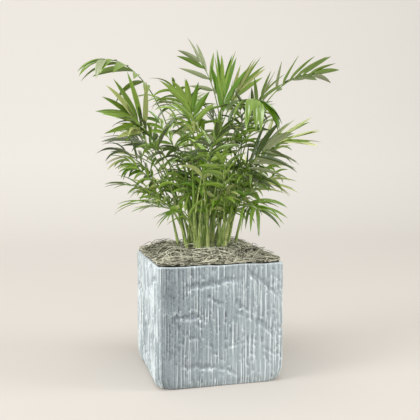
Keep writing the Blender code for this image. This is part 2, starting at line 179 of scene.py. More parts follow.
# What is finer here than in the solids. The pleat is how high a leaflet lies across its width, both as
# shares of half of it, and the outline widens from its stalk to its widest and then tapers to a point.
FINE_STATIONS = 9
LEAF_PLEAT = ((-1, 0.34), (-0.5, 0.26), (0, -0.16), (0.5, 0.26), (1, 0.34))
LEAF_WIDEST = 0.28
LEAF_STALK = 0.16
LEAF_TAPER = 2.2
FINE_AXIS = 45
PETIOLE_CORNERS = 7
PETIOLE_SLIM = 0.8
PETIOLE_TONE = (0.35, 1.0)
CANE_CORNERS = 18
CANE_RINGS = 40
BROAD_RIDGES = 5
FINE_RIDGES = 9
RIDGE = 0.05
SCAR_SWELL = 0.06
SCAR_PLACES = ((0.12, 0.30), (0.40, 0.60), (0.70, 0.85))
SCAR_HEIGHT = 0.012
SPEAR_POINT = 0.0003

# Young shoots that stand among the canes, too fine to be solids of their own
SHOOTS = 34
SHOOT_STRIDE = 3
SHOOT_SHUFFLE = 7
SHOOT_TURN = 1.1
SHOOT_OFFSET = (0.0055, 0.0090)
SHOOT_SINK = 0.002
SHOOT_LEAN = math.radians(4)
SHOOT_STRAY = 0.6
SHOOT_FORK = (2, 7)
SHOOT_PETIOLE = (40, 140)
SHOOT_BLADE = (38, 66)
SHOOT_TIP = (80, 35)
SHOOT_TIP_JITTER = 12
SHOOT_ROLL = (-50, 50)
SHOOT_LEAF = (40, 52)
SHOOT_HABITS = (SPREADING, ARCHING, HANGING)

# A shoot's foot is thicker by its sheath, which thins out over these steps of its axis
SHEATH_SWELL = 1.4
SHEATH_STEPS = 18

# The colours of the canes, stone and moss, from dark to light where there are two
# At the foot the light colour of the streaks is a painted highlight
CANE_FOOT_GREEN_AND_HIGHLIGHT = ((0.105, 0.240, 0.005), (0.980, 1.000, 0.460))
CANE_TOP_GREENS = ((0.060, 0.125, 0.006), (0.270, 0.410, 0.055))
SCAR_GREEN = (0.16, 0.20, 0.04)
DARK_CANE_GREEN = (0.060, 0.140, 0.006)
STONE_BODY = ((0.200, 0.246, 0.273), (0.308, 0.370, 0.396))
STONE_PAINTED_SHADE = (0.075, 0.096, 0.115)
STONE_PAINTED_HIGHLIGHT = (0.84, 0.91, 0.93)
STONE_BLOOM = (0.72, 0.80, 0.82)
STONE_DUST = (0.70, 0.77, 0.79)
EARTH_TONES = ((0.022, 0.020, 0.012), (0.085, 0.080, 0.050))

# The kinds of moss strand: name, colour and how many of every eleven
MOSS_KINDS = [
    ("pale", (0.700, 0.685, 0.540), 4),
    ("grey", (0.370, 0.362, 0.275), 4),
    ("dull", (0.115, 0.112, 0.072), 3),
]

# The specular level of every leaf, and the greens, each a kind of leaf: base colour and roughness. They are
# partly the leaves' own tones: shade and deep are also painted shade, and bright and pale also painted
# light, for the glow of leaves lit from behind and for highlights.
LEAF_GLOSS = 0.7
GREENS = {
    "fresh": ((0.120, 0.262, 0.006), 0.30),
    "bright": ((0.225, 0.360, 0.040), 0.30),
    "leaf": ((0.145, 0.240, 0.026), 0.32),
    "deep": ((0.048, 0.088, 0.008), 0.32),
    "shade": ((0.078, 0.104, 0.034), 0.34),
    "grey": ((0.245, 0.285, 0.140), 0.40),
    "pale": ((0.400, 0.460, 0.150), 0.40),
    "straw": ((0.560, 0.600, 0.240), 0.44),
}

# How each outer frond is dressed: pairs of leaflets, their width and droop as shares of the solid
# ones', and their greens, the first one most
Dress = namedtuple("Dress", "pairs width droop greens")
DRESSES = {
    "frond_front_left_low": Dress(5, 0.68, 1.0, ("fresh", "bright", "leaf")),
    "frond_left_lowest": Dress(4, 0.60, 1.0, ("leaf", "pale", "bright")),
    "frond_left_low": Dress(5, 0.62, 1.0, ("grey", "pale", "leaf")),
    "frond_left_pale": Dress(5, 0.72, 1.0, ("pale", "straw", "grey")),
    "frond_left_middle": Dress(7, 0.70, 0.8, ("shade", "grey", "leaf")),
    "frond_left_fan": Dress(5, 0.85, 1.4, ("bright", "leaf", "pale")),
    "frond_left_high": Dress(5, 1.0, 0.6, ("leaf", "leaf", "grey")),
    "frond_middle_left_fan": Dress(5, 0.72, 1.2, ("bright", "leaf", "fresh")),
    "frond_top_left": Dress(4, 0.65, 1.8, ("grey", "leaf", "leaf")),
    "frond_top_middle": Dress(5, 0.75, 1.0, ("fresh", "bright", "leaf")),
    "frond_top_right_fan": Dress(5, 0.75, 1.0, ("pale", "straw", "bright")),
    "frond_right_high": Dress(7, 1.0, 1.2, ("leaf", "leaf", "grey")),
    "frond_right_arching": Dress(8, 0.85, 0.9, ("deep", "leaf", "fresh")),
    "frond_right_middle": Dress(6, 0.72, 1.0, ("pale", "straw", "leaf")),
    "frond_right_dark": Dress(9, 0.74, 0.8, ("grey", "shade", "deep")),
    "frond_right_pale": Dress(6, 0.92, 1.0, ("straw", "pale", "leaf")),
    "frond_right_low": Dress(9, 0.62, 0.8, ("leaf", "deep", "fresh")),
}
INNER_DRESS = Dress(8, 0.60, 1.0, None)
SHOOT_DRESS = Dress(6, 0.72, 1.0, None)
# The shoots and the low inner fronds take the bright and pale greens, painted light in the shaded heart of
# the clump, and the middle inner fronds the dark greens, painted shade
SHOOT_GREENS = ("bright", "leaf", "pale", "fresh")
INNER_LOW = ("bright", "leaf", "fresh", "pale", "deep")
INNER_MIDDLE = ("deep", "shade", "leaf", "grey")
INNER_HIGH = ("leaf", "deep", "bright", "grey")
GREEN_SHARES = (6, 4, 3, 2, 1)
MIDDLE_FROM = 0.4
TOP_FROM = 0.75


def heading(azimuth, inclination):
    """The unit direction at this angle from the vertical, leaning to this azimuth."""
    return Vector(
        (
            math.sin(inclination) * math.cos(azimuth),
            math.sin(inclination) * math.sin(azimuth),
            math.cos(inclination),
        )
    )


def mix(low_high, share):
    """The value at this share of the way from the first to the second."""
    low, high = low_high
    return low + (high - low) * share


def smooth(low, high, values):
    """0 at low and before it, 1 at high and past it, and a smooth step between, rising or falling."""
    share = np.clip((values - low) / (high - low), 0, 1)
    return share * share * (3 - 2 * share)


# Materials


class Wire:
    """A socket in a material's tree that arithmetic can be written on."""

    def __init__(self, look, socket):
        self.look = look
        self.socket = socket

    def worked_out(self, operation, first, second):
        """A Math node on two values, as a wire."""
        return self.look.add("ShaderNodeMath", {"operation": operation}, {0: first, 1: second})

    def __add__(self, other):
        return self.worked_out("ADD", self, other)

    def __radd__(self, other):
        return self.worked_out("ADD", other, self)

    def __mul__(self, other):
        return self.worked_out("MULTIPLY", self, other)

    def __rmul__(self, other):
        return self.worked_out("MULTIPLY", other, self)


class Look:
    """A material in the making: its nodes, and the finish of its one surface shader."""

    def __init__(self, name):
        self.material = bpy.data.materials.new(name)
        self.material.use_nodes = True
        self.tree = self.material.node_tree
        self.surface = self.tree.nodes["Principled BSDF"]

    def put(self, socket, value):
        """A link or a plain value on a socket."""
        if isinstance(value, Wire):
            self.tree.links.new(value.socket, socket)
        elif isinstance(value, tuple) and len(value) == 3 and socket.type == "RGBA":
            socket.default_value = (*value, 1)
        else:
            socket.default_value = value

    def add(self, kind, settings=None, sockets=None, output=0):
        """A new node of this type, its settings made first and then its sockets, as a wire."""
        node = self.tree.nodes.new(kind)
        for name, value in (settings or {}).items():
            setattr(node, name, value)
        for name, value in (sockets or {}).items():
            self.put(node.inputs[name], value)
        return Wire(self, node.outputs[output])

    def colours(self, factor, low, high):
        """From one colour to another by a factor."""
        return self.add("ShaderNodeMix", {"data_type": "RGBA"}, {0: factor, 6: low, 7: high}, 2)

    def range(self, value, low, high):
        """A value's part of the way from low to high, from 0 to 1."""
        return self.add("ShaderNodeMapRange", None, {"Value": value, "From Min": low, "From Max": high})

    def grain(self, scale, detail=3.0, rough=0.5, stretch=(1, 1, 1)):
        """Noise through the piece's own space, longer along an axis whose stretch is less than 1."""
        place = self.add("ShaderNodeTexCoord", None, None, 3)
        place = self.add("ShaderNodeMapping", None, {"Vector": place, "Scale": stretch})
        sockets = {"Vector": place, "Scale": scale, "Detail": detail, "Roughness": rough}
        return self.add("ShaderNodeTexNoise", None, sockets)

    def written(self, name):
        """A number that the mesh carries at each point."""
        return self.add("ShaderNodeAttribute", {"attribute_name": name}, None, 2)

    def bump(self, height, strength, distance):
        """Fine relief that the mesh is too coarse for."""
        sockets = {"Height": height, "Strength": strength, "Distance": distance}
        return self.add("ShaderNodeBump", None, sockets)

    def finish(self, sockets):
        """The surface shader's sockets filled, and the material done."""
        for name, value in sockets.items():
            self.put(self.surface.inputs[name], value)
        return self.material


def leaf_look(name):
    """A glossy leaf in one of the greens."""
    colour, roughness = GREENS[name]
    sockets = {"Base Color": colour, "Roughness": roughness, "Specular IOR Level": LEAF_GLOSS}
    return Look("leaf_" + name).finish(sockets)


def cane_look():
    """Pale green skin with fine streaks along it, yellower towards the foot, where its light streaks are
    painted highlights.
    """
    look = Look("cane_skin")
    streaks = look.range(look.grain(520, 3, 0.6, (1, 1, 0.05)), 0.36, 0.64)
    low = look.colours(streaks, *CANE_FOOT_GREEN_AND_HIGHLIGHT)
    high = look.colours(streaks, *CANE_TOP_GREENS)
    skin = look.colours(look.written("along"), low, high)
    skin = look.colours(look.written("ring") * 0.6, skin, SCAR_GREEN)
    skin = look.colours(look.written("tone") * 0.5, skin, DARK_CANE_GREEN)
    return look.finish({"Base Color": skin, "Roughness": 0.42, "Normal": look.bump(streaks, 0.25, 0.0004)})


def stone_look():
    """Cast split stone: painted highlights on its crests, ledges and rim, painted shade in its grooves,
    chips and scoops, and a pale bloom.
    """
    look = Look("split_stone")
    cloud = look.grain(22, 4, 0.6, (1, 1, 0.5))
    speck = look.grain(900, 3, 0.6, (1, 1, 0.5))
    body = look.colours(look.range(cloud, 0.32, 0.68), *STONE_BODY)
    # Painted shade in grooves, chips, scoops and towards the front face's left end
    body = look.colours(look.written("hollow"), body, STONE_PAINTED_SHADE)
    # Painted highlight where the crest number is high: on rib crests, thin crests, chip edges, scoop ledges
    # and the rim
    body = look.colours(look.written("crest"), body, STONE_PAINTED_HIGHLIGHT)
    body = look.colours(look.written("bloom") * 0.3, body, STONE_BLOOM)
    body = look.colours(look.range(speck, 0.45, 0.75) * 0.3, body, STONE_DUST)
    rough = 0.72 + 0.16 * look.range(speck, 0.3, 0.7)
    return look.finish({"Base Color": body, "Roughness": rough, "Normal": look.bump(speck, 0.35, 0.0005)})


def earth_look():
    """Dark crumbs that show between the strands."""
    look = Look("moss_underlay")
    crumbs = look.grain(260, 4, 0.65)
    tone = look.colours(look.range(crumbs, 0.35, 0.7), *EARTH_TONES)
    return look.finish({"Base Color": tone, "Roughness": 0.95, "Normal": look.bump(crumbs, 0.6, 0.002)})


def strand_look(name, colour):
    """Dry dull fibre."""
    return Look("moss_" + name).finish({"Base Color": colour, "Roughness": 0.9})


# Meshes


def piece(name, verts, faces, look, stands_for):
    """A mesh of the dressed part, riding with the model in place of its solids."""
    mesh = bpy.data.meshes.new(name)
    mesh.from_pydata([tuple(v) for v in verts], [], faces)
    mesh.update()
    mesh.shade_smooth()
    mesh.materials.append(look)
    made = bpy.data.objects.new(name, mesh)
    bpy.context.scene.collection.objects.link(made)
    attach(made, "root")
    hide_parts(*stands_for)
    return made


def write(made, name, values):
    """Give every point of a mesh a number for its material to read."""
    field = made.data.attributes.new(name, "FLOAT", "POINT")
    field.data.foreach_set("value", np.asarray(values, dtype=np.float32))


class Heap:
    """Points and faces of many small things joined into one piece."""

    def __init__(self):
        self.verts = []
        self.faces = []
        self.along = []
        self.rings = []

    def add(self, verts, faces, along=None, rings=None):
        """One more thing on the heap, with its numbers for the material or none."""
        start = len(self.verts)
        self.verts += verts
        self.faces += [tuple(start + i for i in face) for face in faces]
        self.along += along or [0.0] * len(verts)
        self.rings += rings or [0.0] * len(verts)


def tube(points, directions, sides, radii, corners):
    """A tapering limb, closed at both ends."""
    verts, faces = [], []
    for point, direction, side, radius in zip(points, directions, sides, radii):
        up = side.cross(direction)
        for i in range(corners):
            turn = math.tau * i / corners
            verts.append(point + (side * math.cos(turn) + up * math.sin(turn)) * radius)
    rings = len(points)
    for ring in range(rings - 1):
        for i in range(corners):
            j = (i + 1) % corners
            a, b = ring * corners, (ring + 1) * corners
            faces.append((a + j, a + i, b + i, b + j))
    faces.append(tuple(range(corners)))
    faces.append(tuple(reversed(range((rings - 1) * corners, rings * corners))))
    return verts, faces


# The plant, by the rule of the solids


def canes(rng):
    """Each cane's foot, direction, height to the neck and spear length, on a sunflower spiral."""
    found = []
    for i in range(CANES):
        share = math.sqrt((i + 0.5) / CANES)
        azimuth = CLUMP_TURN + i * GOLDEN_ANGLE
        foot = Vector((math.cos(azimuth), math.sin(azimuth), 0)) * (CLUMP_RADIUS * share)
        foot.z = GROUND + GAP
        lean = heading(azimuth + rng.uniform(-CANE_STRAY, CANE_STRAY), mix(CANE_LEAN, share))
        found.append((foot, lean, mix(CANE_HEIGHT, rng.random()), mix(SPEAR_LENGTH, rng.random())))
    return found


def cane_radius(along):
    """The cane's radius at this share of the way from its foot to its neck."""
    flare = CANE_FOOT_RADIUS - CANE_RADIUS
    return mix((CANE_RADIUS, CANE_NECK_RADIUS), along) + flare * max(0.0, 1 - along / CANE_FLARE)


def inner_fronds(rng):
    """The fronds that fill the clump, facing the gaps that the outer ones leave round each cane."""
    used = [0] * CANES
    for frond in OUTER_FRONDS:
        used[frond.cane] += 1
    found = []
    for i in range(INNER_FRONDS):
        cane = min(range(CANES), key=lambda c: (used[c], c * 5 % CANES))
        used[cane] += 1
        rise = (i + 0.5) / INNER_FRONDS
        found.append(
            Frond(
                f"frond_inner_{i + 1:02d}",
                cane,
                mix(INNER_PERCH, rise),
                math.degrees(CLUMP_TURN + i * GOLDEN_ANGLE) % 360,
                mix(INNER_FORK, rise),
                mix(INNER_TIP, rise) + rng.uniform(-INNER_TIP_JITTER, INNER_TIP_JITTER),
                mix(INNER_PETIOLE, rise) * rng.uniform(*INNER_JITTER),
                mix(INNER_BLADE, rise) * rng.uniform(*INNER_JITTER),
                mix(INNER_ROLL, rng.random()),
                mix(INNER_LEAF, rise),
                rng.choice(LOW_HABITS if rise < HIGH_FROM else HIGH_HABITS),
            )
        )
    return found


def axis_of(frond, cane, turn=0, steps=AXIS_STEPS):
    """The petiole and rachis as one curve: its points, directions and sideways directions."""
    foot, lean, height, _ = cane
    azimuth = math.radians(frond.azimuth + turn)
    out = heading(azimuth, math.pi / 2)
    out = (out - lean * out.dot(lean)).normalized()
    fork = math.radians(frond.fork)
    start = lean * math.cos(fork) + out * math.sin(fork)
    end = heading(azimuth, math.radians(frond.tip))
    length = (frond.petiole + frond.blade) / 1000
    off = cane_radius(frond.perch) + PETIOLE_RADIUS + GAP
    point = foot + lean * (height * frond.perch) + out * off
    sideways = Vector((math.sin(azimuth), -math.cos(azimuth), 0))
    points, directions, sides = [], [], []
    for k in range(steps + 1):
        share = k / steps
        direction = start.slerp(end, share**frond.habit.bend)
        points.append(point.copy())
        directions.append(direction)
        sides.append((sideways - direction * sideways.dot(direction)).normalized())
        middle = start.slerp(end, ((k + 0.5) / steps) ** frond.habit.bend)
        point = point + middle * (length / steps)
    return points, directions, sides


def young_shoots(stems, rng):
    """Each shoot's frond and the foot it rises from, gathered against some of the canes."""
    found = []
    for i in range(SHOOTS):
        mother_foot, mother_lean, _, _ = stems[i * SHOOT_STRIDE % CANES]
        azimuth = CLUMP_TURN + SHOOT_TURN + i * GOLDEN_ANGLE
        aside = Vector((math.cos(azimuth), math.sin(azimuth), 0))
        foot = mother_foot + aside * mix(SHOOT_OFFSET, rng.random())
        foot.z = GROUND - SHOOT_SINK
        rise = (i * SHOOT_SHUFFLE % SHOOTS + 0.5) / SHOOTS
        lean = (mother_lean + heading(azimuth, SHOOT_LEAN)).normalized()
        frond = Frond(
            f"shoot_{i + 1:02d}",
            None,
            0.0,
            math.degrees(azimuth + rng.uniform(-SHOOT_STRAY, SHOOT_STRAY)),
            rng.uniform(*SHOOT_FORK),
            mix(SHOOT_TIP, rise) + rng.uniform(-SHOOT_TIP_JITTER, SHOOT_TIP_JITTER),
            mix(SHOOT_PETIOLE, rise),
            mix(SHOOT_BLADE, rise),
            rng.uniform(*SHOOT_ROLL),
            mix(SHOOT_LEAF, rise),
            rng.choice(SHOOT_HABITS),
        )
        found.append((frond, (foot, lean, 0.0, 0.0)))
    return found


def turn_of(frond, cane):
    """The turn by which the frond's solid stands clear of its neighbours, found from the solid."""
    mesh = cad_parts[frond.name].data
    tree = KDTree(len(mesh.vertices))
    for vertex in mesh.vertices:
        tree.insert(vertex.co, vertex.index)
    tree.balance()

    def miss(turn):
        """How far the axis at this turn lies from the solid's points, summed over some of its steps."""
        points = axis_of(frond, cane, turn)[0]
        return sum(tree.find(points[k])[2] for k in range(AXIS_STEPS // 3, AXIS_STEPS + 1, 2))

    return min(AXIS_TRIES, key=miss)


def axis_radius(frond, share):
    """The petiole thins to the rachis, and the rachis to its tip."""
    first = frond.petiole / (frond.petiole + frond.blade)
    if share < first:
        return mix((PETIOLE_RADIUS, RACHIS_RADIUS), share / first)
    return mix((RACHIS_RADIUS, RACHIS_TIP_RADIUS), (share - first) / (1 - first))


def leaf_places(frond, pairs):
    """(share of the whole axis, side, angle to the rachis in degrees, length share) of each leaflet."""
    first = frond.petiole / (frond.petiole + frond.blade)
    places = []
    for i in range(pairs):
        along = i / (pairs - 1)
        for side in (-1, 1):
            shift = LEAF_STAGGER * (side > 0) * (i < pairs - 1) / (pairs - 1)
            share = first + (1 - first) * min(LAST_LEAF, FIRST_LEAF + LEAF_RUN * (along + shift))
            angle = mix(LEAF_ANGLE, along**LEAF_ANGLE_FALL) * frond.habit.spread
            size = mix(LEAF_SIZE, math.sin(math.pi * mix(SIZE_ARC, along)))
            places.append((share, side, angle, size))
    return places


def sample(values, share):
    """The value part of the way along a list."""
    place = min(share, 0.9999) * (len(values) - 1)
    k = int(place)
    return values[k].lerp(values[k + 1], place - k)


def in_the_box(point):
    """Whether a point lies in the model's box or just past it."""
    low, high = cad_box
    return all(low[k] - BOX_SLACK < point[k] < high[k] + BOX_SLACK for k in range(3))


def leaf_line(frond, axis, place, rng, loose, drooping):
    """A leaflet's centre line: its points, directions and the way its upper face looks."""
    share, side, angle, size = place
    points, directions, sides = axis
    tangent = sample(directions, share).normalized()
    roll = Matrix.Rotation(math.radians(frond.roll), 3, tangent)
    sideways = roll @ sample(sides, share).normalized()
    normal = sideways.cross(tangent).normalized()
    open_angle = math.radians(angle + loose * rng.uniform(-OPEN_JITTER, OPEN_JITTER))
    lift = math.radians(frond.habit.lift + loose * rng.uniform(-LIFT_JITTER, LIFT_JITTER))
    spread = sideways * side * math.cos(lift) + normal * math.sin(lift)
    direction = (tangent * math.cos(open_angle) + spread * math.sin(open_angle)).normalized()
    face = (normal - direction * normal.dot(direction)).normalized()
    length = frond.leaf / 1000 * size * rng.uniform(1 - LENGTH_JITTER * loose, 1.0)
    droop = math.radians(frond.habit.droop * drooping * rng.uniform(*DROOP_JITTER))
    hang = direction.cross(-UP)
    room = direction.angle(-UP)
    turn = Matrix.Rotation(min(droop, room * DROOP_LIMIT) / LEAF_STEPS, 3, hang.normalized())
    twist = rng.uniform(-TWIST, TWIST) / LEAF_STEPS
    start = sample(points, share)
    for _ in range(BOX_TRIES):
        point, ahead, up = start.copy(), direction.copy(), face.copy()
        line = [(point, ahead, up)]
        for _ in range(LEAF_STEPS):
            point = point + ahead * (length / LEAF_STEPS)
            ahead = turn @ ahead
            up = Matrix.Rotation(twist, 3, ahead) @ (turn @ up)
            line.append((point, ahead, up))
        if in_the_box(point):
            break
        length *= SHORTENED
    return line


def leaf_outline(share):
    """The leaflet's width at this share of its length, as a share of its widest."""
    if share < LEAF_WIDEST:
        return mix((LEAF_STALK, 1), math.sin(math.pi / 2 * share / LEAF_WIDEST))
    return max(0.0, 1 - ((share - LEAF_WIDEST) / (1 - LEAF_WIDEST)) ** LEAF_TAPER)


def leaflet(line, width):
    """A folded leaflet: a sunken midrib, and two halves that rise from it and bend out."""
    verts, faces = [], []
    for k in range(FINE_STATIONS):
        share = k / FINE_STATIONS
        place = share * LEAF_STEPS
        low = int(place)
        point = line[low][0].lerp(line[low + 1][0], place - low)
        _, direction, face = line[low]
        half = width / 2 * leaf_outline(share)
        across = direction.cross(face) * half
        for side, lift in LEAF_PLEAT:
            verts.append(point + across * side + face * (half * lift))
    verts.append(line[LEAF_STEPS][0])
    row = len(LEAF_PLEAT)
    for ring in range(FINE_STATIONS - 1):
        for i in range(row - 1):
            a = row * ring + i
            faces.append((a, a + 1, a + row + 1, a + row))
    last = row * (FINE_STATIONS - 1)
    faces += [(last + i, last + i + 1, len(verts) - 1) for i in range(row - 1)]
    return verts, faces


def greens_of(frond, rise):
    """The greens of a frond, for an inner one by how high it stands among them."""
    if frond.cane is None:
        return SHOOT_GREENS
    if frond.name in DRESSES:
        return DRESSES[frond.name].greens
    if rise < MIDDLE_FROM:
        return INNER_LOW
    return INNER_MIDDLE if rise < TOP_FROM else INNER_HIGH


def grow_fronds(stems):
    """Every frond's leaflets heaped by their green, and its petiole and rachis in a heap of limbs."""
    rng = random.Random(SEED + 5)
    heaps = {green: (Heap(), set()) for green in GREENS}
    limbs = Heap()
    tones = []
    fronds = OUTER_FRONDS + inner_fronds(random.Random(SEED + 2))
    growth = [(frond, stems[frond.cane], turn_of(frond, stems[frond.cane])) for frond in fronds]
    growth += [(frond, stem, 0) for frond, stem in young_shoots(stems, random.Random(SEED + 3))]
    for number, (frond, stem, turn) in enumerate(growth):
        axis = axis_of(frond, stem, turn)
        wears = greens_of(frond, (number - len(OUTER_FRONDS)) / INNER_FRONDS)
        dress = DRESSES.get(frond.name, SHOOT_DRESS if frond.cane is None else INNER_DRESS)
        width = frond.habit.width / 1000 * dress.width
        loose = 1.0 if frond.name in DRESSES else LOOSENESS
        for place in leaf_places(frond, dress.pairs):
            line = leaf_line(frond, axis, place, rng, loose, dress.droop)
            green = rng.choices(wears, GREEN_SHARES[: len(wears)])[0]
            heap, nodes = heaps[green]
            own_width = width * mix(WIDTH_BY_LENGTH, place[3]) * rng.uniform(*WIDTH_JITTER)
            heap.add(*leaflet(line, own_width))
            if frond.cane is not None:
                nodes.add(frond.name)
        points, directions, sides = axis_of(frond, stem, turn, FINE_AXIS)
        radii = [axis_radius(frond, k / FINE_AXIS) * PETIOLE_SLIM for k in range(FINE_AXIS + 1)]
        if frond.cane is None:
            radii = [r * (1 + SHEATH_SWELL * max(0.0, 1 - k / SHEATH_STEPS)) for k, r in enumerate(radii)]
        first = frond.petiole / (frond.petiole + frond.blade)
        verts, faces = tube(points, directions, sides, radii, PETIOLE_CORNERS)
        shares = [k // PETIOLE_CORNERS / FINE_AXIS for k in range(len(verts))]
        limbs.add(verts, faces, [min(1.0, share / first) for share in shares])
        tones += [rng.random()] * len(verts)
    for green, (heap, nodes) in heaps.items():
        piece("leaflets_" + green, heap.verts, heap.faces, leaf_look(green), sorted(nodes))
    names = [frond.name for frond in fronds]
    made = piece("petioles_and_ribs", limbs.verts, limbs.faces, cane_look(), names)
    write(made, "along", [mix(PETIOLE_TONE, along) for along in limbs.along])
    write(made, "ring", limbs.rings)
    write(made, "tone", tones)


def grow_canes(stems):
    """Canes with leaf scars and fine ridges, and the closed spear leaf that ends each."""
    heap = Heap()
    tones = []
    rng = random.Random(SEED + 6)
    corners, rings = CANE_CORNERS, CANE_RINGS
    for foot, lean, height, spear in stems:
        side = lean.orthogonal().normalized()
        up = side.cross(lean)
        phase = rng.uniform(0, math.tau)
        scars = [rng.uniform(low, high) for low, high in SCAR_PLACES]
        verts, along, ring_marks = [], [], []
        for k in range(rings + 1):
            share = k / rings * (height + spear) / height
            point = foot + lean * (height * share)
            if share <= 1:
                radius = cane_radius(share)
            else:
                spear_share = (share - 1) * height / spear
                radius = mix((CANE_NECK_RADIUS, SPEAR_POINT), spear_share**0.8)
            scar = max(math.exp(-(((share - s) / SCAR_HEIGHT) ** 2)) for s in scars) if share < 1 else 0.0
            for i in range(corners):
                turn = math.tau * i / corners
                broad = math.sin(turn * BROAD_RIDGES + phase + share * 2)
                ridge = 1 + RIDGE * (broad - math.cos(turn * FINE_RIDGES))
                out = side * math.cos(turn) + up * math.sin(turn)
                verts.append(point + out * (radius * min(1 + SCAR_SWELL, ridge + SCAR_SWELL * scar)))
                along.append(min(1.0, share))
                ring_marks.append(scar)
        faces = []
        for k in range(rings):
            for i in range(corners):
                j = (i + 1) % corners
                a, b = k * corners, (k + 1) * corners
                faces.append((a + j, b + j, b + i, a + i))
        faces.append(tuple(range(corners)))
        faces.append(tuple(reversed(range(rings * corners, (rings + 1) * corners))))
        heap.add(verts, faces, along, ring_marks)
        tones += [rng.random()] * len(verts)
    nodes = [f"cane_{k + 1:02d}" for k in range(CANES)]
    made = piece("canes_and_spears", heap.verts, heap.faces, cane_look(), nodes)
    write(made, "along", heap.along)
    write(made, "ring", heap.rings)
    write(made, "tone", tones)


# The pot's split face

POT_COLUMNS = 1040
POT_ROWS = 94

# How deep the relief and a full scoop go, how far the faces bow in, and how far the whole surface is
# moved out, so that the relief lies about the surface of the solid
RELIEF = 0.0026
SCOOP_DEPTH = 0.0026
BOW = 0.0024
BOW_CELLS = 14
BOW_HEIGHT = 0.045
PROUD = 0.0014
RESTING_DEPTH = 0.62
DEEPEST = 1.6

# Broad upright ribs. Each has its crest somewhere within its width, and comes and goes up its height.
RIB_PITCH = 0.0076
RIB_WANDER = 0.7
RIB_WANDER_HEIGHT = 0.060
RIB_CREST = (0.3, 0.7)
RIB_STRENGTH = (0.2, 1.0)
RIB_STRENGTH_HEIGHT = 0.035
RIB_SHOW = (0.45, 1.0)

# Thin crests over them that wander and break off, each a painted highlight with painted shade to its right
LINE_PITCH = 0.0044
LINE_WIDTH = 0.0006
LINE_WANDER = 0.5
LINE_WANDER_HEIGHT = 0.040
LINE_BREAK_HEIGHT = 0.020

# Small chips, in patches, with painted shade in each and a painted highlight along its upper edge
CHIP_WIDTH = 0.0030
CHIP_HEIGHT = 0.0045
CHIP_SLANT = 0.4
PATCH_WIDTH = 0.0070
PATCH_HEIGHT = 0.012
CHIP_LIP = 0.0012

# The ragged edge of a scoop and the ledge that it leaves below, which carries a painted highlight
RAGGED_BY_RIB = 0.004
RAGGED_FINE = 0.005
RAGGED_HEIGHT = 0.004
LEDGE_HEIGHT = 0.0011

# The bloom: dusty clouds, but on the front face a paleness towards its right end and its foot
BLOOM_CELLS = 9
BLOOM_HEIGHT = 0.070
BLOOM = 0.75

# The front face is worn smooth towards its left end, and painted shade darkens it there. Each is how far
# from that end it fades.
WORN_END = (0.045, 0.012)
PAINTED_SHADE_END = (0.075, 0.010)

# The bottom corners are drawn in, and the rim waves a little
FOOT_CORNER_INSET = 0.010
FOOT_CORNER_HEIGHT = 0.036
FOOT_CORNER_REACH = 0.024
RIM_WAVE = 0.0012
RIM_CELLS = 44
RIM_FADE = 0.02
RELIEF_FADE = 0.004
RIM_RELIEF = 0.55
INNER_ROUND = 0.0015

# Broad scoops split out of the front face: centre along the face and up it, half length, half height,
# slant (rise over run) and how deep, in metres but for the slant
FRONT_SCOOPS = [
    (-0.068, 0.126, 0.019, 0.021, 0.0, 0.0016),
    (-0.012, 0.145, 0.046, 0.0055, 0.09, 0.0030),
    (0.060, 0.142, 0.026, 0.0060, -0.80, 0.0030),
    (0.062, 0.080, 0.018, 0.0065, -0.80, 0.0026),
    (-0.045, 0.100, 0.022, 0.0040, -0.05, 0.0020),
    (-0.030, 0.030, 0.032, 0.0040, -0.08, 0.0018),
    (0.012, 0.019, 0.012, 0.0035, -0.5, 0.0018),
    (-0.010, 0.122, 0.014, 0.0035, -0.6, 0.0022),
    (0.030, 0.108, 0.012, 0.0035, -0.5, 0.0018),
    (0.024, 0.058, 0.014, 0.0030, 0.1, 0.0014),
    (-0.040, 0.070, 0.012, 0.0030, -0.3, 0.0014),
    (0.070, 0.045, 0.014, 0.0035, -0.4, 0.0016),
]

# The same for the scoops of the other faces, each dealt between these, seven to a face
SCOOPS_ELSEWHERE = 7
SCOOP_MIDDLE = (0.015, 0.155)
SCOOP_HALF_LENGTH = (0.010, 0.038)
SCOOP_HALF_HEIGHT = (0.003, 0.007)
SCOOP_SLANT = (-0.7, 0.4)
SCOOP_DEPTHS = (0.0016, 0.0030)


def hashed(x, y, seed):
    """A number from 0 to 1 that belongs to this cell and no other."""
    mixed = (x.astype(np.int64) * 374761393 + y.astype(np.int64) * 668265263 + seed * 974634777) & 0xFFFFFFFF
    mixed = ((mixed ^ (mixed >> 13)) * 1274126177) & 0xFFFFFFFF
    return ((mixed ^ (mixed >> 16)) & 0xFFFF) / 65535.0


def noise(x, y, seed, across):
    """Smooth noise from 0 to 1, repeating after this many cells across."""
    left, low = np.floor(x), np.floor(y)
    fx, fy = x - left, y - low
    fx, fy = fx * fx * (3 - 2 * fx), fy * fy * (3 - 2 * fy)
    a = hashed(left % across, low, seed)
    b = hashed((left + 1) % across, low, seed)
    c = hashed(left % across, low + 1, seed)
    d = hashed((left + 1) % across, low + 1, seed)
    return (a * (1 - fx) + b * fx) * (1 - fy) + (c * (1 - fx) + d * fx) * fy


def pot_girth():
    """The straight run of a side, the arc of a corner, and the whole way round the pot."""
    run = POT_SIDE - 2 * POT_CORNER
    arc = math.pi / 2 * POT_CORNER
    return run, arc, 4 * (run + arc)


def round_the_pot(places, inset):
    """Points on the rounded square at these distances round it, from the front face's left end."""
    run, arc, _ = pot_girth()
    side = run + arc
    quarter = np.floor(places / side)
    along = places - quarter * side
    reach = run / 2
    turn = np.clip((along - run) / arc, 0, 1) * (math.pi / 2)
    radius = POT_CORNER - inset
    x = -reach + np.minimum(along, run) + np.sin(turn) * radius
    y = -reach - np.cos(turn) * radius
    angle = quarter * (math.pi / 2)
    return x * np.cos(angle) - y * np.sin(angle), x * np.sin(angle) + y * np.cos(angle)


